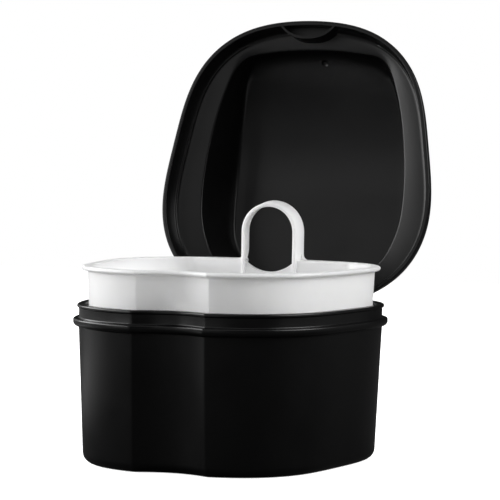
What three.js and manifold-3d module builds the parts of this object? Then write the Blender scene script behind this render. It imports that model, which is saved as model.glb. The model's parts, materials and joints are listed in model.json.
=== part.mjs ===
// A denture case with its lid open and its basket raised: case body, lid, basket and hinge pin.
// Millimetres, +Z up. X runs across the case, the front is at -Y and the hinge at the back.
// The origin is the middle of the flat underside.
import * as THREE from "three";
import { mergeVertices } from "three/addons/utils/BufferGeometryUtils.js";
import Module from "manifold-3d";

const wasm = await Module();
wasm.setup();

// Plan: the ledge's outline from the front middle to the back middle, as shares of halfWidth
const halfWidth = 46.5;
const outlineShares = [
  [0, -1.055],
  [0.277, -1.034],
  [0.545, -0.945],
  [0.76, -0.76],
  [0.882, -0.51],
  [0.939, -0.252],
  [0.981, 0],
  [1, 0.268],
  [0.951, 0.549],
  [0.784, 0.784],
  [0.536, 0.927],
  [0.265, 0.989],
  [0, 1.004],
];
// Plan of the inner edge of the lid's shelf, where its dome starts, as shares of halfWidth
const shelfShares = [
  [0, -0.888],
  [0.215, -0.88],
  [0.4, -0.858],
  [0.527, -0.822],
  [0.595, -0.755],
  [0.65, -0.645],
  [0.695, -0.505],
  [0.73, -0.355],
  [0.755, -0.205],
  [0.773, -0.055],
  [0.782, 0.095],
  [0.782, 0.24],
  [0.764, 0.389],
  [0.716, 0.535],
  [0.645, 0.645],
  [0.556, 0.732],
  [0.45, 0.808],
  [0.31, 0.879],
  [0.16, 0.921],
  [0, 0.932],
];
// Plan of the edge of the lid's ceiling, as shares of halfWidth
const ceilingShares = [
  [0, -0.842],
  [0.215, -0.836],
  [0.36, -0.822],
  [0.455, -0.8],
  [0.525, -0.755],
  [0.572, -0.68],
  [0.602, -0.575],
  [0.628, -0.432],
  [0.648, -0.288],
  [0.66, -0.142],
  [0.667, 0.01],
  [0.668, 0.16],
  [0.664, 0.312],
  [0.648, 0.45],
  [0.6, 0.575],
  [0.515, 0.69],
  [0.397, 0.787],
  [0.258, 0.864],
  [0.13, 0.901],
  [0, 0.91],
];

// Finger notch in the front of the case and the basket
const notchHalf = 11.6;
const notchDepth = 4.7;
const notchBaseDepth = 4;

// Case body. An inset is measured inwards from the ledge's outline.
const ledgeTop = 44.2;
const ledgeThickness = 2.4;
const ledgeUnderRadius = 1.3;
const ledgeTopRadius = 0.5;
const neckHeight = 4.3;
const neckInset = 1.75;
const caseWall = 2;
const caseFloor = 1.8;
const baseInset = 3.4;
const baseRadius = 3;
const innerBaseRadius = 2.5;
const beadOut = 0.55;
const beadHeight = 1.2;
const rimRadius = 0.5;

// Basket
const seatClearance = 0.3;
const basketLift = 10;
const flangeThickness = 1.4;
const flangeInset = 2.5;
const sideClearance = 0.55;
const basketWall = 1.5;
const flatBackInset = 7.4;
const basketBaseInset = 6;
const basketBaseRadius = 4;
const underBasket = 5;
const drainRadius = 1.6;
const drainPitch = 9.5;
const drainMargin = 16.5;

// Finger loop, moulded on the basket
const loopRadius = 10.2;
const loopTaper = 0.8;
const loopThickness = 1.25;
const loopWidth = 6.2;
const loopBehind = 1.9;
const loopHeight = 19.2;
const loopLegDrop = 14;
const loopDip = 3.9;
const loopDipRadius = 15.6;

// Lid, with heights above the ledge while the lid is shut
const openAngle = 101.5;
const lidClearance = 0.3;
const lidOutset = 0.5;
const lidWall = 1.4;
const kneeHeight = 4;
const shoulderHeight = 6.8;
const shoulderInset = 2.15;
const shelfRise = 0.8;
const crestInset = 2.8;
const handleClearance = 0.8;
const crownStart = 6;
const crownRadius = 80;
const domeRound = 2.5;
const ribInset = 1.75;
const ribWall = 0.75;
const ribHeight = 0.8;
const ribFrontShare = -0.94;
const ribBackShare = 0.677;
const neckClearance = 0.3;
const pocketHalf = 9.4;
const pocketDepth = 4;
const pocketWall = 0.9;
const pocketRoof = 1.3;
const pocketEnd = 0.3;
const pocketSink = 0.1;
// The skirt's outer section: shares of the way in, and of the way up, from the rim to the crest
const skirtShares = [
  [0, 0],
  [0, 0.15],
  [0.05, 0.32],
  [0.17, 0.51],
  [0.33, 0.69],
  [0.5, 0.85],
  [0.7, 0.95],
  [1, 1],
];
// How much of the dome's wall is straight, and how far in from the ceiling's edge its rings lie
const straightShare = 0.82;
const crownShares = [0.7, 0.4, 0.15];

// Hinge
const hingeStandoff = 1.9;
const hingeDrop = 1;
const pinRadius = 1;
const pinClearance = 0.3;
const lugRadius = 2.4;
const lugInner = 14;
const lugWidth = 4;
const hingeGap = 0.35;
const lugRoot = 5;

// Mesh resolution, and how far cutting tools reach past what they cut
const frontSteps = 10;
const sideSteps = 62;
const outlineSteps = 720;
const cornerSteps = 3;
const roundSteps = 24;
const drainSteps = 8;
const overrun = 2;

// Derived places
const neckTop = ledgeTop + neckHeight;
const flangeUnder = neckTop + seatClearance;
const flangeTop = flangeUnder + flangeThickness;
const basketBottom = caseFloor + underBasket;
const backY = halfWidth * outlineShares.at(-1)[1];
const axisY = backY + hingeStandoff;
const axisZ = ledgeTop - hingeDrop;
const innerInset = neckInset + caseWall;
const basketInset = innerInset + sideClearance;
const flatBackY = backY - flatBackInset;
const loopBack = flatBackY + loopBehind;
const loopFront = loopBack - loopWidth;
const lidRim = ledgeTop + lidClearance;
const lidFace = lidWall - lidOutset;
const shoulder = ledgeTop + shoulderHeight;
const shelf = shoulder + shelfRise;
const ceiling = flangeTop + loopHeight + handleClearance;
const halfTurn = Math.PI;
const quarterTurn = Math.PI / 2;

const outlineCurve = closedCurve(outlineShares);
const shelfCurve = closedCurve(shelfShares);
const ceilingCurve = closedCurve(ceilingShares);

function closedCurve(shares) {
  const right = shares.map(([x, y]) => new THREE.Vector3(x, y, 0).multiplyScalar(halfWidth));
  const left = right.slice(1, -1).reverse();
  const mirrored = left.map((p) => new THREE.Vector3(-p.x, p.y, 0));
  return new THREE.CatmullRomCurve3([...right, ...mirrored], true, "centripetal");
}

// The curve moved inwards, as close points that start at the front middle and run to +X first
function insetPoints(curve, inset) {
  return Array.from({ length: outlineSteps }, (_, i) => {
    const at = curve.getPoint(i / outlineSteps);
    const along = curve.getTangent(i / outlineSteps);
    return new THREE.Vector2(at.x - along.y * inset, at.y + along.x * inset);
  });
}

function crossing(points, x) {
  const next = Math.max(1, points.findIndex((p) => p.x > x));
  const a = points[next - 1];
  const b = points[next];
  return a.clone().lerp(b, (x - a.x) / (b.x - a.x));
}

// One ring in plan: the front stretch across the notch, then the sides and the back at an even pace
function ringPlan(curve, inset, notch) {
  const points = insetPoints(curve, inset);
  const front = Array.from({ length: frontSteps }, (_, i) => {
    const x = notchHalf * ((2 * i) / frontSteps - 1);
    const at = crossing(points, Math.abs(x));
    const drop = notch * (1 - (x / notchHalf) ** 2);
    return new THREE.Vector2(x, at.y + drop);
  });
  const corner = crossing(points, notchHalf);
  const end = new THREE.Vector2(-corner.x, corner.y);
  const first = points.findIndex((p) => p.x >= notchHalf);
  const around = points.slice(first, outlineSteps - first + 1);
  const path = [corner, ...around, end];
  const lengths = [0];
  path.slice(1).forEach((p, i) => lengths.push(lengths[i] + p.distanceTo(path[i])));
  const total = lengths[lengths.length - 1];
  const side = Array.from({ length: sideSteps }, (_, i) => {
    const wanted = (total * i) / sideSteps;
    const k = Math.max(1, lengths.findIndex((l) => l >= wanted));
    const share = (wanted - lengths[k - 1]) / (lengths[k] - lengths[k - 1]);
    return path[k - 1].clone().lerp(path[k], share);
  });
  return [...front, ...side];
}

const ringAt = (curve, inset, z, notch) =>
  ringPlan(curve, inset, notch).map((p) => new THREE.Vector3(p.x, p.y, z));

const meanZ = (ring) => ring.reduce((sum, p) => sum + p.z, 0) / ring.length;

// Rings joined one to the next, with a cap on the first and the last
function loft(rings) {
  const count = rings[0].length;
  const places = rings.flat();
  const triangles = [];
  for (let r = 0; r + 1 < rings.length; r++) {
    for (let i = 0; i < count; i++) {
      const a = r * count + i;
      const b = r * count + ((i + 1) % count);
      triangles.push(a, b, b + count, a, b + count, a + count);
    }
  }
  const last = (rings.length - 1) * count;
  const bottom = places.push(new THREE.Vector3(0, 0, meanZ(rings[0]))) - 1;
  const top = places.push(new THREE.Vector3(0, 0, meanZ(rings.at(-1)))) - 1;
  for (let i = 0; i < count; i++) {
    const next = (i + 1) % count;
    triangles.push(bottom, next, i, top, last + i, last + next);
  }
  const geometry = new THREE.BufferGeometry().setFromPoints(places);
  geometry.setIndex(triangles);
  return solidOf(geometry);
}

// Section points on an arc: angle 0 points inwards, a quarter turn points up
function arc(inset, z, radius, from, to) {
  return Array.from({ length: cornerSteps + 1 }, (_, i) => {
    const angle = from + ((to - from) * i) / cornerSteps;
    return [inset + radius * Math.cos(angle), z + radius * Math.sin(angle)];
  });
}

// From a wall at this inset down to a floor at z
const fillet = (inset, z, radius) =>
  arc(inset + radius, z + radius, radius, -halfTurn, -quarterTurn);

function solidOf(geometry) {
  const bare = new THREE.BufferGeometry();
  bare.setAttribute("position", geometry.getAttribute("position"));
  bare.setIndex(geometry.index);
  const merged = mergeVertices(bare);
  const mesh = new wasm.Mesh({
    numProp: 3,
    vertProperties: Float32Array.from(merged.attributes.position.array),
    triVerts: Uint32Array.from(merged.index.array),
  });
  return new wasm.Manifold(mesh);
}

function meshOf(solid, name, material) {
  const data = solid.getMesh();
  const geometry = new THREE.BufferGeometry();
  geometry.setAttribute("position", new THREE.BufferAttribute(data.vertProperties, data.numProp));
  geometry.setIndex(new THREE.BufferAttribute(data.triVerts, 1));
  geometry.computeVertexNormals();
  const mesh = new THREE.Mesh(geometry, material);
  mesh.name = name;
  return mesh;
}

function box(x0, x1, y0, y1, z0, z1) {
  const geometry = new THREE.BoxGeometry(x1 - x0, y1 - y0, z1 - z0);
  return solidOf(geometry.translate((x0 + x1) / 2, (y0 + y1) / 2, (z0 + z1) / 2));
}

// A round bar parallel to X
function barX(radius, x0, x1, y, z) {
  const geometry = new THREE.CylinderGeometry(radius, radius, x1 - x0, roundSteps);
  return solidOf(geometry.rotateZ(quarterTurn).translate((x0 + x1) / 2, y, z));
}

// A plan outline raised from z0 to z1
function prism(points, z0, z1) {
  const geometry = new THREE.ExtrudeGeometry(new THREE.Shape(points), {
    depth: z1 - z0,
    bevelEnabled: false,
  });
  return solidOf(geometry.translate(0, 0, z0));
}

// The notch is shallower at the foot of the case than at the ledge
const notchAt = (z) => THREE.MathUtils.lerp(notchBaseDepth, notchDepth, Math.min(1, z / ledgeTop));

function rings(section) {
  return section.map(([inset, z]) => ringAt(outlineCurve, inset, z, notchAt(z)));
}

function caseShell() {
  const ledgeUnder = ledgeTop - ledgeThickness;
  const section = [
    ...fillet(baseInset, 0, baseRadius).reverse(),
    [neckInset, ledgeUnder],
    ...arc(ledgeUnderRadius, ledgeUnder + ledgeUnderRadius, ledgeUnderRadius, -quarterTurn, -halfTurn),
    ...arc(ledgeTopRadius, ledgeTop - ledgeTopRadius, ledgeTopRadius, halfTurn, quarterTurn),
    [neckInset, ledgeTop],
    [neckInset, neckTop - beadHeight],
    [neckInset - beadOut, neckTop - (beadHeight + rimRadius) / 2],
    ...arc(neckInset - beadOut + rimRadius, neckTop - rimRadius, rimRadius, halfTurn, quarterTurn),
    ...arc(innerInset - rimRadius, neckTop - rimRadius, rimRadius, quarterTurn, 0),
    ...fillet(baseInset + caseWall, caseFloor, innerBaseRadius),
  ];
  return loft(rings(section));
}

// Two lugs that carry the pin behind the ledge
function lugs() {
  const ledgeUnder = ledgeTop - ledgeThickness;
  return [-1, 1].map((side) => {
    const middle = side * (lugInner + lugWidth / 2);
    const x0 = middle - lugWidth / 2;
    const x1 = middle + lugWidth / 2;
    const root = box(x0, x1, axisY - lugRoot, axisY, ledgeUnder, ledgeTop - lidClearance);
    return barX(lugRadius, x0, x1, axisY, axisZ).add(root);
  });
}

const pinHalf = lugInner + lugWidth;
const bore = barX(pinRadius + pinClearance, -pinHalf - overrun, pinHalf + overrun, axisY, axisZ);

function caseBody() {
  const barrelRoom = barX(lugRadius + hingeGap, -lugInner, lugInner, axisY, axisZ);
  return lugs()
    .reduce((body, lug) => body.add(lug), caseShell().subtract(barrelRoom))
    .subtract(bore);
}

// The basket's wall is flat behind the loop. The flange over it keeps the outline's curve.
function flatBack(ring, inset) {
  if (inset < basketInset) return ring;
  const limit = flatBackY - (inset - basketInset);
  return ring.map((p) => new THREE.Vector3(p.x, Math.min(p.y, limit), p.z));
}

function basketShell() {
  const inner = basketInset + basketWall;
  const innerBase = basketBaseInset + basketWall;
  const half = flangeThickness / 2;
  const section = [
    ...fillet(basketBaseInset, basketBottom, basketBaseRadius).reverse(),
    [basketInset, flangeUnder],
    ...arc(flangeInset + half, flangeUnder + half, half, -quarterTurn, -halfTurn - quarterTurn),
    [inner, flangeTop],
    ...fillet(innerBase, basketBottom + basketWall, basketBaseRadius - basketWall),
  ];
  return loft(rings(section).map((ring, i) => flatBack(ring, section[i][0])));
}

// The band narrows towards the front, so its front edge has the smaller radius
function loop() {
  const centre = flangeTop + loopHeight - loopRadius;
  const inner = loopRadius - loopThickness;
  const low = flangeTop - loopLegDrop;
  const shape = new THREE.Shape();
  shape.moveTo(-loopRadius, low);
  shape.lineTo(-loopRadius, centre);
  shape.absarc(0, centre, loopRadius, halfTurn, 0, true);
  shape.lineTo(loopRadius, low);
  shape.lineTo(inner, low);
  shape.lineTo(inner, centre);
  shape.absarc(0, centre, inner, 0, halfTurn, false);
  shape.lineTo(-inner, low);
  const band = new THREE.ExtrudeGeometry(shape, {
    depth: loopWidth,
    bevelEnabled: false,
    curveSegments: roundSteps,
  });
  band.rotateX(quarterTurn).translate(0, loopBack, 0);
  const places = band.getAttribute("position");
  for (let i = 0; i < places.count; i++) {
    const back = (places.getY(i) - loopFront) / loopWidth;
    const scale = 1 - (loopTaper / loopRadius) * (1 - back);
    const rise = Math.max(0, places.getZ(i) - centre);
    places.setX(i, places.getX(i) * scale);
    places.setZ(i, places.getZ(i) + rise * (scale - 1));
  }
  return solidOf(band);
}

// The flange stops at the loop's legs, and the wall's edge dips between them
function loopGap() {
  const half = loopRadius - loopThickness;
  const bottom = flangeTop - loopDip;
  const geometry = new THREE.CylinderGeometry(loopDipRadius, loopDipRadius, halfWidth, roundSteps * 2);
  const cut = solidOf(geometry.translate(0, loopFront + halfWidth / 2, bottom + loopDipRadius));
  const dip = cut.intersect(box(-half, half, loopFront, halfWidth, bottom, flangeTop + overrun));
  return dip.add(box(-half, half, flatBackY, halfWidth, flangeUnder - overrun, flangeTop + overrun));
}

function drains() {
  const field = halfWidth - drainMargin;
  const reach = Math.floor(field / drainPitch);
  const spots = [];
  for (let i = -reach; i <= reach; i++) {
    for (let j = -reach; j <= reach; j++) {
      if (Math.hypot(i, j) * drainPitch <= field) spots.push([i * drainPitch, j * drainPitch]);
    }
  }
  return spots.map(([x, y]) => {
    const length = basketWall + 2 * overrun;
    const geometry = new THREE.CylinderGeometry(drainRadius, drainRadius, length, drainSteps);
    return solidOf(geometry.rotateX(quarterTurn).translate(x, y, basketBottom + basketWall / 2));
  });
}

function basket() {
  const open = drains().reduce((body, hole) => body.subtract(hole), basketShell());
  return open.subtract(loopGap()).add(loop());
}

// The ceiling is level over the loop and falls away towards the front
const crownAt = (y) => ceiling - Math.max(0, crownStart - y) ** 2 / (2 * crownRadius);

// Rings from the shelf up the dome's wall and round onto its crown, moved outwards by a wall
function dome(wall) {
  const onCrown = (x, y) => new THREE.Vector3(x, y, crownAt(y) + wall);
  const foot = ringAt(shelfCurve, -wall, shelf + wall, 0);
  const edge = ringPlan(ceilingCurve, -wall, 0).map((p) => onCrown(p.x, p.y));
  const brim = ringPlan(ceilingCurve, domeRound - wall, 0).map((p) => onCrown(p.x, p.y));
  const start = foot.map((p, i) => p.clone().lerp(edge[i], straightShare));
  const turn = start.map((p, i) => new THREE.QuadraticBezierCurve3(p, edge[i], brim[i]));
  const round = Array.from({ length: cornerSteps + 1 }, (_, k) =>
    turn.map((curve) => curve.getPoint(k / cornerSteps)),
  );
  const crown = crownShares.map((share) => brim.map((p) => onCrown(p.x * share, p.y * share)));
  return [foot, ...round, ...crown];
}

function lidShell() {
  const crest = shelf + lidWall;
  const skirt = [
    [shoulderInset, shoulder],
    [lidFace, ledgeTop + kneeHeight],
    [lidFace, lidRim],
    ...skirtShares.map(([way, up]) => [
      THREE.MathUtils.lerp(-lidOutset, crestInset, way),
      THREE.MathUtils.lerp(lidRim, crest, up),
    ]),
  ];
  return loft([
    ...dome(0).reverse(),
    ...skirt.map(([inset, z]) => ringAt(outlineCurve, inset, z, 0)),
    ...dome(lidWall),
  ]);
}

// A rib along each side, just outside the basket's flange
function ribs() {
  const outer = ringPlan(outlineCurve, ribInset, 0);
  const inner = ringPlan(outlineCurve, ribInset + ribWall, 0);
  const low = shoulder - ribHeight;
  return [-1, 1].map((side) => {
    const kept = outer.map((p, i) => i).filter((i) => {
      const p = outer[i];
      const along = p.y / halfWidth;
      return p.x * side > 0 && along > ribFrontShare && along < ribBackShare;
    });
    const points = [...kept.map((i) => outer[i]), ...kept.reverse().map((i) => inner[i])];
    return prism(points, low, shoulder + lidWall / 2);
  });
}

// Plan of the thumb pocket: between one inset of the smooth front and one that follows the notch
function pocketPlan(frontInset, backInset, half) {
  const smooth = insetPoints(outlineCurve, frontInset);
  const notched = insetPoints(outlineCurve, backInset);
  const xs = Array.from({ length: frontSteps + 1 }, (_, i) => half * ((2 * i) / frontSteps - 1));
  const front = xs.map((x) => new THREE.Vector2(x, crossing(smooth, Math.abs(x)).y));
  const back = xs.map((x) => {
    const drop = notchDepth * (1 - (x / pocketHalf) ** 2);
    return new THREE.Vector2(x, crossing(notched, Math.abs(x)).y + drop);
  });
  return [...front, ...back.reverse()];
}

function lid() {
  const face = neckInset - beadOut - neckClearance;
  const roof = lidRim + pocketDepth;
  // Where a plan that starts at this inset has come down to pocketEnd in depth
  const reach = (inset) => pocketHalf * Math.sqrt(1 - (inset + pocketEnd) / notchDepth);
  const front = prism(pocketPlan(lidFace - pocketSink, face, pocketHalf), lidRim, roof + pocketRoof);
  const rootPlan = pocketPlan(shoulderInset, face, reach(shoulderInset - face));
  const root = prism(rootPlan, roof, shoulder + lidWall / 2);
  const hollowPlan = pocketPlan(lidFace, face - pocketWall, reach(lidFace + pocketWall - face));
  const hollow = prism(hollowPlan, lidRim - overrun, roof);
  const lugRoom = [-1, 1].map((side) => {
    const middle = side * (lugInner + lugWidth / 2);
    const half = lugWidth / 2 + hingeGap;
    return barX(lugRadius + hingeGap, middle - half, middle + half, axisY, axisZ);
  });
  const barrelHalf = lugInner - hingeGap;
  const armFront = backY + lidOutset - lidWall / 2;
  const armTop = axisZ + lugRadius + lidWall;
  const arm = box(-barrelHalf, barrelHalf, armFront, axisY, lidRim, armTop);
  const barrel = barX(lugRadius, -barrelHalf, barrelHalf, axisY, axisZ);
  const shell = ribs().reduce((body, rib) => body.add(rib), lidShell());
  const hollowed = shell.add(root).add(front).subtract(hollow);
  const cleared = lugRoom.reduce((body, room) => body.subtract(room), hollowed);
  return cleared.add(arm).add(barrel).subtract(bore);
}

const blackPlastic = new THREE.MeshStandardMaterial({ color: 0x141414, roughness: 0.35, metalness: 0 });
const whitePlastic = new THREE.MeshStandardMaterial({ color: 0xe6e6e4, roughness: 0.4, metalness: 0 });
const steel = new THREE.MeshStandardMaterial({ color: 0xb0b2b4, roughness: 0.3, metalness: 1 });

const dentureCase = new THREE.Group();
dentureCase.add(meshOf(caseBody(), "case_body", blackPlastic));

const raised = new THREE.Group();
raised.position.z = basketLift;
raised.add(meshOf(basket(), "basket", whitePlastic));
dentureCase.add(raised);

// The lid is shaped shut and turned open about the pin
const hinge = new THREE.Group();
hinge.position.set(0, axisY, axisZ);
hinge.rotation.x = -THREE.MathUtils.degToRad(openAngle);
const lidMesh = meshOf(lid(), "lid", blackPlastic);
lidMesh.position.set(0, -axisY, -axisZ);
hinge.add(lidMesh);
dentureCase.add(hinge);

dentureCase.add(meshOf(barX(pinRadius, -pinHalf, pinHalf, axisY, axisZ), "hinge_pin", steel));

export default dentureCase;
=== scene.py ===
"""A denture case with its lid open and its basket raised.

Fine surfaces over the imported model, studio light and camera.
"""
import json
import math
from itertools import product

import bmesh
import bpy
import numpy as np
from mathutils import Matrix, Vector

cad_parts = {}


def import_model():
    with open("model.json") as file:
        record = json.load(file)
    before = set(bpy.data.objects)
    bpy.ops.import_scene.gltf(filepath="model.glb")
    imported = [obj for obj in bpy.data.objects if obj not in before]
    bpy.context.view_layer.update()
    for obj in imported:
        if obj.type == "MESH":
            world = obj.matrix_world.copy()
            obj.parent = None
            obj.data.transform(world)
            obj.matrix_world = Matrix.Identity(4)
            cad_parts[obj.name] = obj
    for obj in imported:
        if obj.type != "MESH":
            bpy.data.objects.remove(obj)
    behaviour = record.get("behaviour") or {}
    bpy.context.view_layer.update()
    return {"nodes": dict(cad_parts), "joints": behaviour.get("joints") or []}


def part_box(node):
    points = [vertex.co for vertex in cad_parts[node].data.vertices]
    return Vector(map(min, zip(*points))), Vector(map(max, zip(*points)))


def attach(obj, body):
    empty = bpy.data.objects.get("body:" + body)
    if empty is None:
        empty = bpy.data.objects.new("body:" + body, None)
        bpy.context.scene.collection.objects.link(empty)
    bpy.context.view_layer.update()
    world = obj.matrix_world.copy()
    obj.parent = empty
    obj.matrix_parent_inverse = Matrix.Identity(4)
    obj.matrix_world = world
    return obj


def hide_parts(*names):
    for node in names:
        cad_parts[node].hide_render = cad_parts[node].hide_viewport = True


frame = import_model()

# Shapes are worked out in millimetres and scaled to metres when they become meshes
MM = 0.001


def joint(name):
    return next(j for j in frame["joints"] if j["name"] == name)


# Sizes read from the frame
case_low, case_high = (np.array(corner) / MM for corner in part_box("case_body"))
basket_low, basket_high = (np.array(corner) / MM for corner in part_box("basket"))
HALF_WIDTH = (case_high[0] - case_low[0]) / 2
RIM_TOP = case_high[2]
AXIS_Y, AXIS_Z = (value / MM for value in joint("lid_hinge")["pos_m"][1:])
OPEN_ANGLE = math.radians(-joint("lid_hinge")["range_deg"][0])
LIFT = -joint("basket_lift")["range_m"][0] / MM

# Plan of the ledge: the radius about the middle is a sum of cosines of the angle from the front
OUTLINE_SHARES = (1.0477, 0.0013, 0.0243, 0.0342, -0.0428, -0.0091)
# Plan of the inner edge of the lid's shelf, where its dome starts, as shares of HALF_WIDTH
SHELF_SHARES = (
    (0, -0.888),
    (0.215, -0.88),
    (0.4, -0.858),
    (0.527, -0.822),
    (0.588, -0.755),
    (0.638, -0.645),
    (0.682, -0.505),
    (0.717, -0.355),
    (0.742, -0.205),
    (0.76, -0.055),
    (0.769, 0.095),
    (0.769, 0.24),
    (0.752, 0.389),
    (0.706, 0.535),
    (0.645, 0.645),
    (0.556, 0.732),
    (0.45, 0.808),
    (0.31, 0.879),
    (0.16, 0.921),
    (0, 0.932),
)
# Plan of the edge of the lid's ceiling, as shares of HALF_WIDTH
CEILING_SHARES = (
    (0, -0.842),
    (0.215, -0.836),
    (0.36, -0.822),
    (0.455, -0.8),
    (0.525, -0.755),
    (0.572, -0.68),
    (0.602, -0.575),
    (0.628, -0.432),
    (0.648, -0.288),
    (0.66, -0.142),
    (0.667, 0.01),
    (0.668, 0.16),
    (0.664, 0.312),
    (0.648, 0.45),
    (0.6, 0.575),
    (0.515, 0.69),
    (0.397, 0.787),
    (0.258, 0.864),
    (0.13, 0.901),
    (0, 0.91),
)

# Finger notch in the front of the case and the basket
NOTCH_HALF = 11.6
NOTCH_DEPTH = 4.7
NOTCH_BASE_DEPTH = 4.0
NOTCH_EDGE = 0.1
# How far its points reach past it and are drawn to its edges, as shares of NOTCH_HALF
NOTCH_REACH_SHARE = 1.25
NOTCH_PULL_SHARE = 0.65
NOTCH_PULL_WIDTH_SHARE = 0.16

# Case body. An inset is measured inwards from the ledge's outline.
NECK_HEIGHT = 4.3
LEDGE_TOP = RIM_TOP - NECK_HEIGHT
LEDGE_THICKNESS = 2.4
LEDGE_UNDER_RADIUS = 1.3
LEDGE_TOP_RADIUS = 0.5
NECK_INSET = 1.75
NECK_ROOT_RADIUS = 0.4
CASE_WALL = 2.0
CASE_FLOOR = 1.8
BASE_INSET = 3.4
BASE_RADIUS = 3.0
INNER_BASE_RADIUS = 2.5
BEAD_OUT = 0.55
BEAD_HEIGHT = 1.2
RIM_RADIUS = 0.5

# Basket, shaped seated in the case
FLANGE_THICKNESS = 1.4
FLANGE_INSET = 2.5
SEAT_CLEARANCE = 0.3
FLANGE_TOP = RIM_TOP + SEAT_CLEARANCE + FLANGE_THICKNESS
BASKET_INSET = 4.3
BASKET_WALL = 1.5
FLAT_BACK_INSET = 9.2
BASKET_BASE_INSET = 6.0
BASKET_BASE_RADIUS = 4.0
BASKET_BOTTOM = basket_low[2] - LIFT
FLANGE_ROOT_RADIUS = 0.6
FLANGE_INNER_RADIUS = 0.6
DRAIN_RADIUS = 1.6
DRAIN_PITCH = 9.5
DRAIN_FIELD = 30.0

# Finger loop. Its back edge lies LOOP_BEHIND behind the outside of the basket's flat back wall.
LOOP_BACK_RADIUS = 10.2
LOOP_FRONT_RADIUS = 9.4
LOOP_THICKNESS = 1.25
LOOP_WIDTH = 6.2
LOOP_BEHIND = 3.7
LOOP_TOP = basket_high[2] - LIFT
LOOP_LEG_DROP = 14.0
LOOP_EDGE = 0.35
LOOP_DIP = 3.9
LOOP_DIP_RADIUS = 12.3
LOOP_FOOT_RADIUS = 2.0
LOOP_FOOT_CUT = 1.5
LOOP_FOOT_HEIGHT = 3.5
LOOP_FOOT_DEPTH = 2.0

# Lid, shaped shut. Knee and shoulder heights are above the ledge.
LID_CLEARANCE = 0.3
LID_OUTSET = 0.5
LID_WALL = 1.4
LID_EDGE = 0.25
KNEE_HEIGHT = 4.0
SHOULDER_HEIGHT = 6.8
SHOULDER_INSET = 2.15
SHOULDER_ROUND = 1.4
SHELF_RISE = 0.8
CREST_INSET = 2.8
HANDLE_CLEARANCE = 0.8
CROWN_START = 6.0
CROWN_RADIUS = 80.0
SHELF_ROUND = 0.5
DOME_ROUND = 1.2
# The lid's skirt outside: shares of the way in, and of the way up, from the rim to the crest
SKIRT_SHARES = (
    (0, 0.09),
    (0, 0.15),
    (0.02, 0.23),
    (0.05, 0.32),
    (0.105, 0.41),
    (0.17, 0.51),
    (0.245, 0.6),
    (0.33, 0.69),
    (0.41, 0.77),
    (0.5, 0.85),
    (0.595, 0.91),
    (0.7, 0.955),
    (0.85, 0.988),
    (1, 1),
)
# How much of the dome's wall is straight, and how far out from the middle its crown's rings lie
STRAIGHT_SHARE = 0.82
CROWN_SHARES = (0.9, 0.8, 0.7, 0.6, 0.5, 0.4, 0.3, 0.2, 0.1, 0.03)
# The same round inside at the front, and where it has grown from nothing to all of that
FRONT_ROUND = 8.5
FRONT_STRAIGHT_SHARE = 0.35
FRONT_ROUND_SHARES = (0.74, 0.82)
# The most of its way that a round on the dome's foot may take
HALF_WAY = 0.5

# Ribs inside the lid
RIB_INSET = 1.75
RIB_WALL = 0.75
RIB_HEIGHT = 0.8
RIB_ROOT_RADIUS = 0.4
RIB_FRONT_SHARE = -0.94
RIB_BACK_SHARE = 0.677
RIB_END = 1.5
RIB_END_SHARE = 0.9

# Thumb pocket in the front of the lid. Its plan falls off from the middle by POCKET_POWER.
POCKET_HALF = 9.7
POCKET_POWER = 2.5
POCKET_DEPTH = 4.0
POCKET_WALL = 0.9
POCKET_ROOF = 1.3
POCKET_END = 0.3
POCKET_SINK = 0.1

# Gate mark: a ball under the ceiling that only cuts into the round at its front
GATE_X = 2.7
GATE_Y = -37.3
GATE_BALL = 1.6
GATE_LOWERED = 0.5

# Hinge
BORE_RADIUS = 1.3
LUG_RADIUS = 2.4
LUG_INNER = 14.0
LUG_WIDTH = 4.0
HINGE_GAP = 0.35
LUG_ROOT = 5.0

# Places that follow
LEDGE_UNDER = LEDGE_TOP - LEDGE_THICKNESS
LID_RIM = LEDGE_TOP + LID_CLEARANCE
SHOULDER = LEDGE_TOP + SHOULDER_HEIGHT
SHELF = SHOULDER + SHELF_RISE
CEILING = LOOP_TOP + HANDLE_CLEARANCE
PIN_HALF = LUG_INNER + LUG_WIDTH

# How far a cutting shape runs past what it cuts
OVERRUN = 2.0

# Mesh resolution. HOLE_STEPS also serves the gate mark's ball.
CURVE_POINTS = 1440
NOTCH_POINTS = 72
SIDE_POINTS = 220
POCKET_POINTS = 41
ARC_STEPS = 6
ROUND_STEPS = 48
HOLE_STEPS = 24
DIP_STEPS = 192
CORNER_STEPS = 3
LEG_STEPS = 24
WALL_STEPS = 8
# Edges that turn by more than this many degrees are shaded sharp
SHARP_ANGLE = 30.0

QUARTER = math.pi / 2
HALF_TURN = math.pi
FULL_TURN = 2 * math.pi


# Curves in plan and section


def outline_curve():
    """The ledge's outline as close points, from the front middle round by +X."""
    turn = np.linspace(0, FULL_TURN, CURVE_POINTS, endpoint=False)
    waves = (share * np.cos(k * turn) for k, share in enumerate(OUTLINE_SHARES))
    radius = HALF_WIDTH * sum(waves)
    return np.stack([radius * np.sin(turn), -radius * np.cos(turn)], axis=1)


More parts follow.
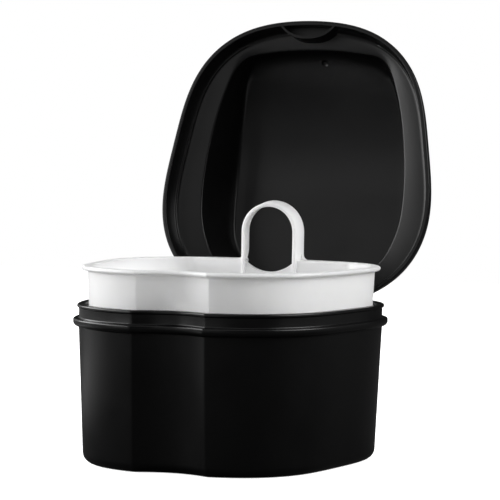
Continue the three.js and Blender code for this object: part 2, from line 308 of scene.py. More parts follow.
def spline_curve(shares):
    """A closed natural curve through points and their mirror images.

    It comes as close points, from the front middle round by +X.
    """
    right = np.array(shares) * HALF_WIDTH
    left = right[1:-1][::-1] * (-1, 1)
    knots = np.vstack([right, left])
    count = len(knots)
    chord = np.linalg.norm(np.roll(knots, -1, axis=0) - knots, axis=1)
    before = np.roll(chord, 1)
    system = np.zeros((count, count))
    pull = np.zeros((count, 2))
    for i in range(count):
        system[i, i - 1] = before[i]
        system[i, i] = 2 * (before[i] + chord[i])
        system[i, (i + 1) % count] = chord[i]
        rise = (knots[(i + 1) % count] - knots[i]) / chord[i]
        fall = (knots[i] - knots[i - 1]) / before[i]
        pull[i] = 6 * (rise - fall)
    bend = np.linalg.solve(system, pull)
    points = []
    per = CURVE_POINTS // count
    for i in range(count):
        a, b, h = knots[i], knots[(i + 1) % count], chord[i]
        for t in np.linspace(0, 1, per, endpoint=False):
            s = 1 - t
            bow = ((s**3 - s) * bend[i] + (t**3 - t) * bend[(i + 1) % count]) * h * h / 6
            points.append(s * a + t * b + bow)
    return np.array(points)


def offset(curve, inset):
    """The curve moved inwards by inset."""
    along = np.roll(curve, -1, axis=0) - np.roll(curve, 1, axis=0)
    along /= np.linalg.norm(along, axis=1)[:, None]
    inwards = np.stack([-along[:, 1], along[:, 0]], axis=1)
    return curve + inwards * inset


def front_y(points, x):
    """The curve's y on its front stretch."""
    half = points[: len(points) // 4]
    return np.interp(np.abs(x), half[:, 0], half[:, 1])


def notch_stations():
    """Stations across the notch, as shares of its half-width, close together at its two edges."""
    even = np.linspace(-1, 1, NOTCH_POINTS + 1)
    bunched = even * NOTCH_REACH_SHARE
    for edge in (-1, 1):
        gap = bunched - edge
        near = np.exp(-((gap / NOTCH_PULL_WIDTH_SHARE) ** 2))
        bunched = bunched - NOTCH_PULL_SHARE * gap * near
    return bunched


def notch_drop(station, depth):
    """How far the notch sets the front back, with a small round at its edges."""
    dish = depth * (1 - station**2)
    return (dish + np.sqrt(dish**2 + 4 * NOTCH_EDGE**2)) / 2


def notch_at(z):
    """The notch's depth at a height, shallower at the foot of the case."""
    return NOTCH_BASE_DEPTH + (NOTCH_DEPTH - NOTCH_BASE_DEPTH) * min(1, z / LEDGE_TOP)


def plan(curve, inset, depth=0.0):
    """The points of a ring in plan.

    The front stretch across the notch comes first, then the sides and the back at an even pace.
    """
    points = offset(curve, inset)
    stations = notch_stations()
    xs = stations * NOTCH_HALF
    ys = front_y(points, xs)
    if depth:
        ys = ys + notch_drop(stations, depth)
    reach = NOTCH_REACH_SHARE * NOTCH_HALF
    corner = np.array([[reach, ys[-1]]])
    around = points[(points[:, 0] > reach) | (points[:, 1] > 0) | (points[:, 0] < -reach)]
    path = np.vstack([corner, around, corner * (-1, 1)])
    steps = np.linalg.norm(np.diff(path, axis=0), axis=1)
    walked = np.concatenate([[0], np.cumsum(steps)])
    wanted = np.linspace(0, walked[-1], SIDE_POINTS, endpoint=False)[1:]
    side = np.stack([np.interp(wanted, walked, path[:, k]) for k in (0, 1)], axis=1)
    return np.vstack([np.stack([xs, ys], axis=1), side])


def at_height(flat, z):
    """Plan points set at one height."""
    return np.column_stack([flat, np.full(len(flat), z)])


def ring(curve, inset, z, depth=0.0):
    return at_height(plan(curve, inset, depth), z)


def circle(radius, steps):
    """Points round a circle about zero."""
    turns = np.linspace(0, FULL_TURN, steps, endpoint=False)
    return radius * np.stack([np.cos(turns), np.sin(turns)], axis=1)


def arc(inset, z, radius, start, end, steps=ARC_STEPS):
    """Section points on an arc: angle 0 points inwards, a quarter turn points up."""
    turns = np.linspace(start, end, steps + 1)
    return [(inset + radius * math.cos(a), z + radius * math.sin(a)) for a in turns]


def fillet(inset, z, radius):
    """From a wall at this inset down to a floor at z."""
    return arc(inset + radius, z + radius, radius, -HALF_TURN, -QUARTER)


def bezier(start, middle, end, steps):
    """Points or rings on the quadratic curve from start to end that turns by middle."""
    ways = np.linspace(0, 1, steps + 1)
    return [(1 - t) ** 2 * start + 2 * t * (1 - t) * middle + t**2 * end for t in ways]


# Meshes


def add_object(name, data):
    made = bpy.data.objects.new(name, data)
    bpy.context.scene.collection.objects.link(made)
    return made


def mesh_object(name, points, faces):
    mesh = bpy.data.meshes.new(name)
    mesh.from_pydata((np.asarray(points) * MM).tolist(), [], faces)
    mesh.update()
    return add_object(name, mesh)


def loft(name, rings):
    """Rings joined one to the next, closed by a flat face at each end."""
    count = len(rings[0])
    faces = []
    for r in range(len(rings) - 1):
        for i in range(count):
            a = r * count + i
            b = r * count + (i + 1) % count
            faces.append((a, b, b + count, a + count))
    last = (len(rings) - 1) * count
    faces.append(tuple(reversed(range(count))))
    faces.append(tuple(range(last, last + count)))
    return mesh_object(name, np.vstack(rings), faces)


def axis_bar(name, radius, x0, x1):
    """A round bar on the hinge's axis."""
    flat = circle(radius, ROUND_STEPS) + (AXIS_Y, AXIS_Z)
    return loft(name, [np.insert(flat, 0, x, axis=1) for x in (x0, x1)])


def ball(name, centre, radius):
    """A round ball of stacked rings."""
    widest = circle(radius, HOLE_STEPS)
    turns = np.linspace(-QUARTER, QUARTER, HOLE_STEPS)[1:-1]
    rings = [at_height(widest * math.cos(a), radius * math.sin(a)) + centre for a in turns]
    return loft(name, rings)


def box(name, low, high):
    corners = list(product(*zip(low, high)))
    faces = [(0, 1, 3, 2), (4, 6, 7, 5), (0, 4, 5, 1), (2, 3, 7, 6), (0, 2, 6, 4), (1, 5, 7, 3)]
    return mesh_object(name, corners, faces)


def prism(name, flat, z0, z1):
    """A plan outline raised from z0 to z1."""
    return loft(name, [at_height(flat, z) for z in (z0, z1)])


def upright(piece):
    """Faces turned outwards."""
    work = bmesh.new()
    work.from_mesh(piece.data)
    bmesh.ops.recalc_face_normals(work, faces=work.faces)
    work.to_mesh(piece.data)
    work.free()
    return piece


def cut_or_join(target, tool, operation):
    """A boolean of two objects, kept in target. The tool is used up."""
    modifier = target.modifiers.new("boolean", "BOOLEAN")
    modifier.object = tool
    modifier.operation = operation
    modifier.solver = "EXACT"
    graph = bpy.context.evaluated_depsgraph_get()
    result = bpy.data.meshes.new_from_object(target.evaluated_get(graph))
    target.modifiers.clear()
    old = target.data
    target.data = result
    bpy.data.meshes.remove(old)
    bpy.data.objects.remove(tool)
    return target


def join(target, *tools):
    for tool in tools:
        cut_or_join(target, tool, "UNION")


def cut(target, *tools):
    for tool in tools:
        cut_or_join(target, tool, "DIFFERENCE")


def cut_bore(body):
    """The pin's bore through all that lies on the hinge's axis."""
    reach = PIN_HALF + OVERRUN
    cut(body, axis_bar("bore", BORE_RADIUS, -reach, reach))


def smooth(piece):
    """Smooth faces with sharp edges past SHARP_ANGLE."""
    mesh = piece.data
    mesh.polygons.foreach_set("use_smooth", [True] * len(mesh.polygons))
    mesh.set_sharp_from_angle(angle=math.radians(SHARP_ANGLE))
    mesh.update()
    return piece


# The plans, and places that follow from them

outline = outline_curve()
shelf_plan = spline_curve(SHELF_SHARES)
ceiling_plan = spline_curve(CEILING_SHARES)
BACK_Y = outline[CURVE_POINTS // 2, 1]
FLAT_BACK_Y = BACK_Y - FLAT_BACK_INSET
LOOP_FRONT = FLAT_BACK_Y + LOOP_BEHIND - LOOP_WIDTH


# Case body


def case_body():
    root = NECK_ROOT_RADIUS
    under = LEDGE_UNDER_RADIUS
    over = LEDGE_TOP_RADIUS
    rim = RIM_RADIUS
    outer = NECK_INSET - BEAD_OUT
    inner = NECK_INSET + CASE_WALL
    section = [
        *reversed(fillet(BASE_INSET, 0, BASE_RADIUS)),
        *arc(NECK_INSET - root, LEDGE_UNDER - root, root, 0, QUARTER),
        *arc(under, LEDGE_UNDER + under, under, -QUARTER, -HALF_TURN),
        *arc(over, LEDGE_TOP - over, over, HALF_TURN, QUARTER),
        *arc(NECK_INSET - root, LEDGE_TOP + root, root, -QUARTER, 0),
        (NECK_INSET, RIM_TOP - BEAD_HEIGHT),
        (outer, RIM_TOP - (BEAD_HEIGHT + rim) / 2),
        *arc(outer + rim, RIM_TOP - rim, rim, HALF_TURN, QUARTER),
        *arc(inner - rim, RIM_TOP - rim, rim, QUARTER, 0),
        *fillet(BASE_INSET + CASE_WALL, CASE_FLOOR, INNER_BASE_RADIUS),
    ]
    body = loft("case_shell", [ring(outline, inset, z, notch_at(z)) for inset, z in section])
    cut(body, axis_bar("barrel_room", LUG_RADIUS + HINGE_GAP, -LUG_INNER, LUG_INNER))
    for side in (-1, 1):
        x0, x1 = sorted((side * LUG_INNER, side * PIN_HALF))
        lug = axis_bar("lug", LUG_RADIUS, x0, x1)
        low = (x0, AXIS_Y - LUG_ROOT, LEDGE_UNDER)
        high = (x1, AXIS_Y, LEDGE_TOP - LID_CLEARANCE)
        join(lug, box("lug_root", low, high))
        join(body, lug)
    cut_bore(body)
    return smooth(body)


# Basket


def loop_band():
    """The finger loop: a band bent over an arch, smaller at its front edge, its edges rounded.

    Near the flange the inner back edge is set forward into a hollow.
    """
    centre = LOOP_TOP - LOOP_BACK_RADIUS
    low = FLANGE_TOP - LOOP_LEG_DROP
    half = LOOP_THICKNESS / 2
    reach = LOOP_WIDTH - 2 * LOOP_EDGE
    taper = (LOOP_BACK_RADIUS - LOOP_FRONT_RADIUS) / LOOP_WIDTH
    leg = [(-1, 0, z) for z in np.linspace(low, centre, LEG_STEPS + 1)]
    turns = np.linspace(0, HALF_TURN, ROUND_STEPS + 1)[1:-1]
    arch = [(-math.cos(a), math.sin(a), centre) for a in turns]
    path = leg + arch + [(1, 0, z) for _, _, z in reversed(leg)]
    rounds = ((-1, 0, -HALF_TURN), (1, 0, -QUARTER), (1, 1, 0), (-1, 1, QUARTER))
    corners = []
    for across, depth, start in rounds:
        for turn in np.linspace(start, start + QUARTER, CORNER_STEPS + 1):
            way = across * (half - LOOP_EDGE) + LOOP_EDGE * math.cos(turn)
            back = LOOP_EDGE + depth * reach + LOOP_EDGE * math.sin(turn)
            corners.append((way, back, across < 0 < depth))
    rings = []
    for x, up, z in path:
        height = max(0.0, z - FLANGE_TOP)
        near_foot = 0.0 if up else max(0.0, 1 - height / LOOP_FOOT_HEIGHT)
        section = []
        for way, back, inner_back in corners:
            radius = LOOP_FRONT_RADIUS + taper * back - half + way
            kept = back - LOOP_FOOT_CUT * near_foot**2 * inner_back
            section.append((x * radius, LOOP_FRONT + kept, z + up * radius))
        rings.append(np.array(section))
    return loft("loop_band", rings)


def loop_foot(side):
    """The hollow round between a leg's outer side and the top of the flange."""
    radius = LOOP_FOOT_RADIUS
    inside = LOOP_BACK_RADIUS - LOOP_EDGE
    corner = LOOP_BACK_RADIUS + radius
    above = FLANGE_TOP + radius
    under = FLANGE_TOP - FLANGE_THICKNESS / 2
    hollow = arc(corner, above, radius, HALF_TURN, HALF_TURN + QUARTER, 2 * CORNER_STEPS)
    section = [(inside, above), *hollow, (corner, under), (inside, under)]
    back = LOOP_FRONT + LOOP_WIDTH - LOOP_EDGE
    ends = [
        np.array([(side * x, y, z) for x, z in section])
        for y in (back, back - LOOP_FOOT_DEPTH)
    ]
    return upright(loft("loop_foot", ends))


def loop_gap():
    """What the dip in the flange and wall between the loop's legs cuts away."""
    reach = LOOP_BACK_RADIUS - LOOP_THICKNESS
    bottom = FLANGE_TOP - LOOP_DIP
    flat = circle(LOOP_DIP_RADIUS, DIP_STEPS) + (0, bottom + LOOP_DIP_RADIUS)
    ends = [np.insert(flat, 1, y, axis=1) for y in (HALF_WIDTH + OVERRUN, LOOP_FRONT)]
    low = (-reach, 0, bottom - OVERRUN)
    high = (reach, 2 * HALF_WIDTH, FLANGE_TOP + OVERRUN)
    return cut_or_join(loft("gap", ends), box("limit", low, high), "INTERSECT")


def behind_loop(half, start):
    """What is cut out of the flange behind the loop."""
    low = (-half, start, FLANGE_TOP - FLANGE_THICKNESS - OVERRUN)
    high = (half, 2 * HALF_WIDTH, FLANGE_TOP + OVERRUN)
    return box("behind", low, high)


def drains():
    """The drain holes: a square pattern inside a circle."""
    count = int(DRAIN_FIELD // DRAIN_PITCH)
    rows = [i * DRAIN_PITCH for i in range(-count, count + 1)]
    spots = [spot for spot in product(rows, rows) if math.hypot(*spot) <= DRAIN_FIELD]
    low = BASKET_BOTTOM - OVERRUN
    high = BASKET_BOTTOM + BASKET_WALL + OVERRUN
    return [prism("drain", circle(DRAIN_RADIUS, HOLE_STEPS) + spot, low, high) for spot in spots]


def flat_back(ring_points, inset):
    """The basket's wall is flat behind the loop. The flange over it keeps the outline's curve."""
    if inset >= BASKET_INSET:
        limit = FLAT_BACK_Y - (inset - BASKET_INSET)
        ring_points[:, 1] = np.minimum(ring_points[:, 1], limit)
    return ring_points


def basket():
    inner = BASKET_INSET + BASKET_WALL
    half = FLANGE_THICKNESS / 2
    under = FLANGE_TOP - FLANGE_THICKNESS
    root = FLANGE_ROOT_RADIUS
    lip = FLANGE_INNER_RADIUS
    inner_base = BASKET_BASE_INSET + BASKET_WALL
    inner_radius = BASKET_BASE_RADIUS - BASKET_WALL
    section = [
        *reversed(fillet(BASKET_BASE_INSET, BASKET_BOTTOM, BASKET_BASE_RADIUS)),
        *arc(BASKET_INSET - root, under - root, root, 0, QUARTER),
        *arc(FLANGE_INSET + half, under + half, half, -QUARTER, -HALF_TURN - QUARTER),
        *arc(inner - lip, FLANGE_TOP - lip, lip, QUARTER, 0),
        *fillet(inner_base, BASKET_BOTTOM + BASKET_WALL, inner_radius),
    ]
    rings = [flat_back(ring(outline, inset, z, notch_at(z)), inset) for inset, z in section]
    body = loft("basket_shell", rings)
    cut(body, loop_gap())
    cut(body, behind_loop(LOOP_BACK_RADIUS - LOOP_THICKNESS, FLAT_BACK_Y))
    cut(body, behind_loop(LOOP_BACK_RADIUS, LOOP_FRONT + LOOP_WIDTH - LOOP_FOOT_CUT))
    cut(body, *drains())
    join(body, loop_band(), loop_foot(-1), loop_foot(1))
    body.data.transform(Matrix.Translation((0, 0, LIFT * MM)))
    return smooth(body)


# Lid


def on_crown(flat, wall):
    """Plan points set on the lid's ceiling, which falls away towards the front."""
    fall = np.maximum(0, CROWN_START - flat[:, 1]) ** 2 / (2 * CROWN_RADIUS)
    return np.column_stack([flat, CEILING - fall + wall])


def towards(start, end, distance):
    """Points a distance on from start towards end, or half-way where the way is short."""
    gap = np.linalg.norm(end - start, axis=1)[:, None]
    return start + (end - start) * np.minimum(HALF_WAY, distance / gap)


def dome(wall, shelf_rim):
    """Rings from the shelf up the dome's wall and round onto its crown, moved outwards by a wall.

    On the inside the round grows towards the front.
    """
    foot = ring(shelf_plan, -wall, SHELF + wall)
    edge = on_crown(plan(ceiling_plan, -wall), wall)
    brim = plan(ceiling_plan, DOME_ROUND - wall)
    straight = STRAIGHT_SHARE
    if wall == 0:
        forwards = -edge[:, 1] / HALF_WIDTH
        near_front = np.interp(forwards, FRONT_ROUND_SHARES, (0, 1))[:, None]
        brim = brim + (plan(ceiling_plan, FRONT_ROUND) - brim) * near_front
        straight = STRAIGHT_SHARE + (FRONT_STRAIGHT_SHARE - STRAIGHT_SHARE) * near_front
    brim = on_crown(brim, wall)
    start = foot + (edge - foot) * straight
    low = towards(foot, edge, SHELF_ROUND)
    middle = [low + (start - low) * t for t in np.linspace(0, 1, WALL_STEPS + 1)[1:-1]]
    onto_wall = bezier(towards(foot, shelf_rim, SHELF_ROUND), foot, low, ARC_STEPS)
    onto_crown = bezier(start, edge, brim, 2 * ARC_STEPS)
    crown = [on_crown(brim[:, :2] * share, wall) for share in CROWN_SHARES]
    return [*onto_wall, *middle, *onto_crown, *crown]


def lid_shell():
    face = LID_WALL - LID_OUTSET
    crest = SHELF + LID_WALL
    knee = LEDGE_TOP + KNEE_HEIGHT
    shoulder = np.array([SHOULDER_INSET, SHOULDER])
    down = np.array([face, knee]) - shoulder
    before = shoulder + (SHOULDER_ROUND, 0)
    after = shoulder + down * SHOULDER_ROUND / np.linalg.norm(down)
    inside = [
        *bezier(before, shoulder, after, ARC_STEPS),
        (face, knee),
        *arc(face - LID_EDGE, LID_RIM + LID_EDGE, LID_EDGE, 0, -QUARTER),
        *arc(LID_EDGE - LID_OUTSET, LID_RIM + LID_EDGE, LID_EDGE, -QUARTER, -HALF_TURN),
    ]
    outside = [
        (-LID_OUTSET + (CREST_INSET + LID_OUTSET) * way, LID_RIM + (crest - LID_RIM) * up)
        for way, up in SKIRT_SHARES
    ]
    skirt = [ring(outline, inset, z) for inset, z in inside + outside]
    return loft("lid_shell", dome(0, skirt[0])[::-1] + skirt + dome(LID_WALL, skirt[-1]))


def rib(side):
    """A thin rib just outside the basket's flange along one side.

    It has a round tip and sloping ends.
    """
    outer = plan(outline, RIB_INSET)
    inner = plan(outline, RIB_INSET + RIB_WALL)
    along = outer[:, 1] / HALF_WIDTH
    beside = (outer[:, 0] * side > 0) & (along > RIB_FRONT_SHARE) & (along < RIB_BACK_SHARE)
    kept = np.flatnonzero(beside)
    top = SHOULDER + LID_WALL / 2
    tip_turns = np.linspace(0, HALF_TURN, 2 * ARC_STEPS + 1)
    root_turns = np.linspace(0, QUARTER, ARC_STEPS + 1)
    root_way = RIB_ROOT_RADIUS / RIB_WALL
    rings = []
    for i in kept:
        from_end = min(np.linalg.norm(outer[i] - outer[kept[end]]) for end in (0, -1))
        height = RIB_HEIGHT * (1 - RIB_END_SHARE * max(0.0, 1 - from_end / RIB_END) ** 2)
        across = inner[i] - outer[i]
        round_up = min(RIB_WALL / 2, height / 2)
        root_up = min(RIB_ROOT_RADIUS, height / 2)
        low = SHOULDER - height
        tip = [((1 - math.cos(a)) / 2, low + round_up * (1 - math.sin(a))) for a in tip_turns]
        root = [
            (1 + root_way * (1 - math.cos(a)), SHOULDER - root_up * (1 - math.sin(a)))
            for a in root_turns
        ]
        section = [(0, top), *tip, *root, (root[-1][0], top)]
        rings.append(np.array([(*(outer[i] + across * way), z) for way, z in section]))
    return upright(loft("rib", rings))


def pocket_plan(front_inset, back_inset, half):
    """Between one inset of the smooth front and one that follows the notch."""
    xs = np.linspace(-half, half, POCKET_POINTS)
    front = front_y(offset(outline, front_inset), xs)
    dish = NOTCH_DEPTH * (1 - np.abs(xs / POCKET_HALF) ** POCKET_POWER)
    back = front_y(offset(outline, back_inset), xs) + dish
    there = np.stack([xs, front], axis=1)
    return np.vstack([there, np.stack([xs, back], axis=1)[::-1]])


def pocket_half(inset):
    """Half the pocket's width where it starts to stand out from the skirt."""
    return POCKET_HALF * (1 - (inset + POCKET_END) / NOTCH_DEPTH) ** (1 / POCKET_POWER)


def add_pocket(body):
    """The thumb pocket, joined to the front of the lid and hollowed from below."""
    face = LID_WALL - LID_OUTSET
    wall = NECK_INSET - BEAD_OUT - LID_CLEARANCE
    roof = LID_RIM + POCKET_DEPTH
    front = pocket_plan(face - POCKET_SINK, wall, POCKET_HALF)
    root = pocket_plan(SHOULDER_INSET, wall, pocket_half(SHOULDER_INSET - wall))
    hollow = pocket_plan(face, wall - POCKET_WALL, pocket_half(face + POCKET_WALL - wall))
    join(body, upright(prism("root", root, roof, SHOULDER + LID_WALL / 2)))
    join(body, upright(prism("front", front, LID_RIM, roof + POCKET_ROOF)))
    cut(body, upright(prism("hollow", hollow, LID_RIM - OVERRUN, roof)))


def add_barrel(body):
    """The hinge barrel between the lugs, on an arm out of the back of the lid."""
    for side in (-1, 1):
        x0, x1 = sorted((side * (LUG_INNER - HINGE_GAP), side * (PIN_HALF + HINGE_GAP)))
        cut(body, axis_bar("lug_room", LUG_RADIUS + HINGE_GAP, x0, x1))
    half = LUG_INNER - HINGE_GAP
    low = (-half, BACK_Y + LID_OUTSET - LID_WALL / 2, LID_RIM)
    high = (half, AXIS_Y, AXIS_Z + LUG_RADIUS + LID_WALL)
    arm = box("arm", low, high)
    join(arm, axis_bar("barrel", LUG_RADIUS, -half, half))
    join(body, arm)
    cut_bore(body)


def lid():
    body = lid_shell()
    add_pocket(body)
    join(body, rib(-1), rib(1))
    gate = on_crown(np.array([[GATE_X, GATE_Y]]), -GATE_LOWERED - GATE_BALL)[0]
    cut(body, ball("gate", gate, GATE_BALL))
    add_barrel(body)
    axis = Vector((0, AXIS_Y * MM, AXIS_Z * MM))
    turn = Matrix.Rotation(-OPEN_ANGLE, 4, "X")
    body.data.transform(Matrix.Translation(axis) @ turn @ Matrix.Translation(-axis))
    return smooth(body)


# Materials

# Noise scales are per metre. Reliefs and the depth that light goes into the plastic are lengths.
NOISE_DETAIL = 4.0
NOISE_RANGE = (0.3, 0.7)
RELIEF = 0.2
BLACK = (0.002, 0.002, 0.0021, 1)
BLACK_SPECULAR = 0.25
BLACK_ROUGHNESS = (0.28, 0.33)
BLACK_CLOUD_SCALE = 90
PEEL_SCALE = 900
PEEL_STRENGTH = 0.04
FROSTED = (0.93, 0.93, 0.93, 1)
SCATTERED = 0.6
SCATTER_DEPTH = 4.0
SCATTER_COLOR_SHARES = (1, 1, 0.95)
LET_THROUGH = 0.3
FROSTED_ROUGHNESS = (0.34, 0.42)
FROSTED_CLOUD_SCALE = 120
FROST_SCALE = 1400
FROST_STRENGTH = 0.05
STEEL = (0.56, 0.57, 0.58, 1)
STEEL_ROUGHNESS = (0.25, 0.4)
STEEL_GRAIN_SCALE = 2500
WHITE = (1, 1, 1, 1)


def new_material(name):
    material = bpy.data.materials.new(name)
    material.use_nodes = True
    tree = material.node_tree
    return material, tree, tree.nodes["Principled BSDF"]


def fill(tree, node, values):
    """Inputs by name or number, each given a value or linked to a socket."""
    for key, value in values.items():
        if isinstance(value, bpy.types.NodeSocket):
            tree.links.new(value, node.inputs[key])
        else:
            node.inputs[key].default_value = value


def maths(tree, operation, first, second):
    node = tree.nodes.new("ShaderNodeMath")
    node.operation = operation
    fill(tree, node, {0: first, 1: second})
    return node.outputs["Value"]


def mapped(tree, value, start, end, low, high):
    """A value's way from start to end mapped to the way from low to high."""
    node = tree.nodes.new("ShaderNodeMapRange")
    fill(tree, node, {
        "Value": value,
        "From Min": start,
        "From Max": end,
        "To Min": low,
        "To Max": high,
    })
    return node.outputs["Result"]


def noise(tree, scale):
    """Noise in the object's own metres."""
    place = tree.nodes.new("ShaderNodeTexCoord")
    node = tree.nodes.new("ShaderNodeTexNoise")
    fill(tree, node, {
        "Vector": place.outputs["Object"],
        "Scale": scale,
        "Detail": NOISE_DETAIL,
    })
    return node.outputs["Fac"]


def cloudy(tree, scale, low, high):
    """A value that drifts between low and high."""
    return mapped(tree, noise(tree, scale), *NOISE_RANGE, low, high)


def relief(tree, scale, strength):
    node = tree.nodes.new("ShaderNodeBump")
    fill(tree, node, {
        "Height": noise(tree, scale),
        "Strength": strength,
        "Distance": RELIEF * MM,
    })
    return node.outputs["Normal"]


def black_plastic():
    """Moulded black polypropylene: a satin gloss with a faint orange peel."""
    material, tree, shader = new_material("black_plastic")
    fill(tree, shader, {
        "Base Color": BLACK,
        "Specular IOR Level": BLACK_SPECULAR,
        "Roughness": cloudy(tree, BLACK_CLOUD_SCALE, *BLACK_ROUGHNESS),
        "Normal": relief(tree, PEEL_SCALE, PEEL_STRENGTH),
    })
    return material


def white_plastic():
    """Frosted natural polypropylene: light goes a few millimetres into it, and some through."""
    material, tree, shader = new_material("white_plastic")
    fill(tree, shader, {
        "Base Color": FROSTED,
        "Subsurface Weight": SCATTERED,
        "Subsurface Radius": SCATTER_COLOR_SHARES,
        "Subsurface Scale": SCATTER_DEPTH * MM,
        "Transmission Weight": LET_THROUGH,
        "Roughness": cloudy(tree, FROSTED_CLOUD_SCALE, *FROSTED_ROUGHNESS),
        "Normal": relief(tree, FROST_SCALE, FROST_STRENGTH),
    })
    return material


def pin_steel():
    """Drawn steel wire with a fine grain."""
    material, tree, shader = new_material("pin_steel")
    fill(tree, shader, {
        "Base Color": STEEL,
        "Metallic": 1,
        "Roughness": cloudy(tree, STEEL_GRAIN_SCALE, *STEEL_ROUGHNESS),
    })
    return material


# The whole object


def dress(piece, body, material):
    piece.data.materials.clear()
    piece.data.materials.append(material)
    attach(piece, body)


def build_object():
    black = black_plastic()
    white = white_plastic()
    steel = pin_steel()
    made = (
        (case_body(), "case", black, "case_plastic", "case_body"),
        (lid(), "lid", black, "lid_plastic", "lid"),
        (basket(), "basket", white, "basket_plastic", "basket"),
    )
    for piece, body, material, slot, node in made:
        dress(piece, body, material)
        piece.name = f"{node}_fine"
        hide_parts(node)
    pin = frame["nodes"]["hinge_pin"]
    pin.data.materials.clear()
    pin.data.materials.append(steel)


# Studio

# The camera as it was fitted to the photograph, in degrees, millimetres and pixels
CAMERA_AZIMUTH = 21.314
CAMERA_ELEVATION = 2.777
CAMERA_ROLL = 0.865
CAMERA_DISTANCE = 741.2
FOCAL_PX = 2387.5
PHOTO_PX = 500
SENSOR = 36
AIM_RIGHT = 6.83
AIM_HEIGHT = 64.89
CLIP_NEAR = 10.0
CLIP_FAR = 20000.0

# Half the width of the floor
FLOOR = 900.0
# The floor's colour and glow as the camera sees them. The glow grows away from the object.
FLOOR_PALE = 0.9
FLOOR_GLOW = 0.75
FLOOR_GLOW_FAR = 1.0
GLOW_NEAR = 90.0
GLOW_FAR = 350.0
# The floor as other rays meet it: dark painted shade, but paler with painted pools of light in a
# spot at the left and far in front, for the black plastic to reflect
PAINTED_SHADE_TONE = 0.06
PAINTED_LIGHT_TONE = 0.55
PAINTED_LIGHT_SPOT = (-210, -20, 0)
SPOT_EDGE = 130.0
SPOT_INSIDE = 50.0
DARK_FRONT = -300.0
PAINTED_LIGHT_FRONT = -450.0
# The background as the camera sees it and as other rays meet it
SKY_WHITE = 1
SKY_DARK = 0.02

# Soft lamps round the object, each turned to LAMP_AIM: azimuth from the front towards +X and
# elevation in degrees, distance, width and height in millimetres, power in watts
LAMP_AIM = (0, 20, 70)
LAMPS = {
    "left_panel": (-105, 5, 380, 450, 190, 0.06),
    "left_high": (-86, 21, 700, 700, 380, 6.9),
    "right_panel": (105, 5, 380, 500, 190, 0.05),
    "right_high": (95, 30, 700, 600, 380, 5.6),
    "top": (180, 68, 650, 600, 500, 0.2),
    "front_left": (-47, 15, 900, 300, 380, 2.5),
    "front": (-8, 14, 900, 550, 420, 0.72),
    "front_high": (15, 50, 800, 600, 450, 1.1),
}


def direction(azimuth, elevation):
    """The way out from the object at an azimuth from the front towards +X and an elevation."""
    turn = math.radians(azimuth)
    rise = math.radians(elevation)
    level = math.cos(rise)
    return Vector((math.sin(turn) * level, -math.cos(turn) * level, math.sin(rise)))


def camera():
    away = direction(CAMERA_AZIMUTH, CAMERA_ELEVATION)
    turn = math.radians(CAMERA_AZIMUTH)
    right = Vector((math.cos(turn), math.sin(turn), 0))
    target = right * AIM_RIGHT + Vector((0, 0, AIM_HEIGHT))
    data = bpy.data.cameras.new("camera")
    data.sensor_width = SENSOR
    data.lens = FOCAL_PX / PHOTO_PX * SENSOR
    data.clip_start = CLIP_NEAR * MM
    data.clip_end = CLIP_FAR * MM
    view = add_object("camera", data)
    aim = away.to_track_quat("Z", "Y").to_matrix().to_4x4()
    place = Matrix.Translation((target + away * CAMERA_DISTANCE) * MM)
    roll = Matrix.Rotation(math.radians(CAMERA_ROLL), 4, "Z")
    view.matrix_world = place @ aim @ roll
    bpy.context.scene.camera = view


def sees_white(tree):
    """1 for the camera's rays and for those that pass through the frosted plastic."""
    path = tree.nodes.new("ShaderNodeLightPath")
    rays = (path.outputs["Is Camera Ray"], path.outputs["Is Transmission Ray"])
    return maths(tree, "MAXIMUM", *rays)


def distance_from(tree, spot, place):
    """How far a place lies from a fixed spot, in metres."""
    node = tree.nodes.new("ShaderNodeVectorMath")
    node.operation = "DISTANCE"
    fill(tree, node, {0: place, 1: Vector(spot) * MM})
    return node.outputs["Value"]


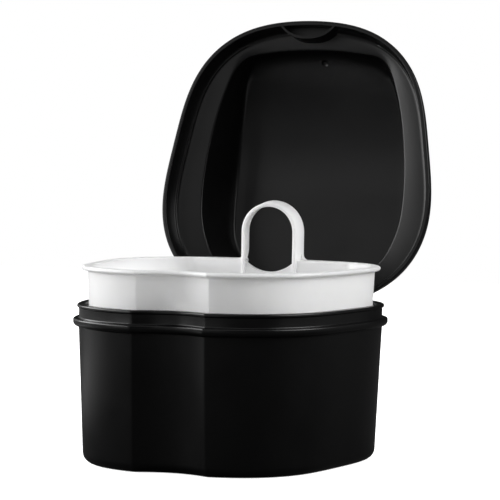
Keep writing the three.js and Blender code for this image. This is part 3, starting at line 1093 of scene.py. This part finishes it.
def floor():
    """A floor that the camera sees as white, but for the object's faint shadow, and that other
    rays see as painted shade with painted pools of light.
    """
    corners = [(-FLOOR, -FLOOR, 0), (FLOOR, -FLOOR, 0), (FLOOR, FLOOR, 0), (-FLOOR, FLOOR, 0)]
    plane = mesh_object("floor", corners, [(0, 1, 2, 3)])
    material, tree, shader = new_material("floor_white")
    place = tree.nodes.new("ShaderNodeTexCoord").outputs["Object"]
    split = tree.nodes.new("ShaderNodeSeparateXYZ")
    fill(tree, split, {"Vector": place})
    # Painted pools of light on the painted dark floor: a spot at the left and a band far in
    # front, seen only by rays that are not the camera's
    ways = (
        (distance_from(tree, PAINTED_LIGHT_SPOT, place), SPOT_EDGE, SPOT_INSIDE),
        (split.outputs["Y"], DARK_FRONT, PAINTED_LIGHT_FRONT),
    )
    shades = [
        mapped(tree, way, start * MM, end * MM, PAINTED_SHADE_TONE, PAINTED_LIGHT_TONE)
        for way, start, end in ways
    ]
    shade = maths(tree, "MAXIMUM", *shades)
    away = distance_from(tree, (0, 0, 0), place)
    glow = mapped(tree, away, GLOW_NEAR * MM, GLOW_FAR * MM, FLOOR_GLOW, FLOOR_GLOW_FAR)
    white = sees_white(tree)
    # The camera sees the plain pale floor; other rays see the painted shade and painted pools of
    # light
    fill(tree, shader, {
        "Base Color": mapped(tree, white, 0, 1, shade, FLOOR_PALE),
        "Roughness": 1,
        "Specular IOR Level": 0,
        "Emission Color": WHITE,
        "Emission Strength": maths(tree, "MULTIPLY", white, glow),
    })
    plane.data.materials.append(material)


def world():
    """White to the camera and dark to everything else, like a black room behind a white sweep."""
    sky = bpy.data.worlds.new("studio")
    bpy.context.scene.world = sky
    sky.use_nodes = True
    tree = sky.node_tree
    strength = mapped(tree, sees_white(tree), 0, 1, SKY_DARK, SKY_WHITE)
    fill(tree, tree.nodes["Background"], {"Color": WHITE, "Strength": strength})


def lights():
    """Soft lamps on spheres round the object, which the camera doesn't see."""
    for name, (azimuth, elevation, distance, width, height, power) in LAMPS.items():
        way = direction(azimuth, elevation)
        data = bpy.data.lights.new(name, "AREA")
        data.shape = "RECTANGLE"
        data.size = width * MM
        data.size_y = height * MM
        data.energy = power
        lamp = add_object(name, data)
        lamp.location = (Vector(LAMP_AIM) + way * distance) * MM
        lamp.rotation_euler = way.to_track_quat("Z", "Y").to_euler()
        lamp.visible_camera = False


build_object()
floor()
world()
lights()
camera()
bpy.context.scene.view_settings.view_transform = "Standard"
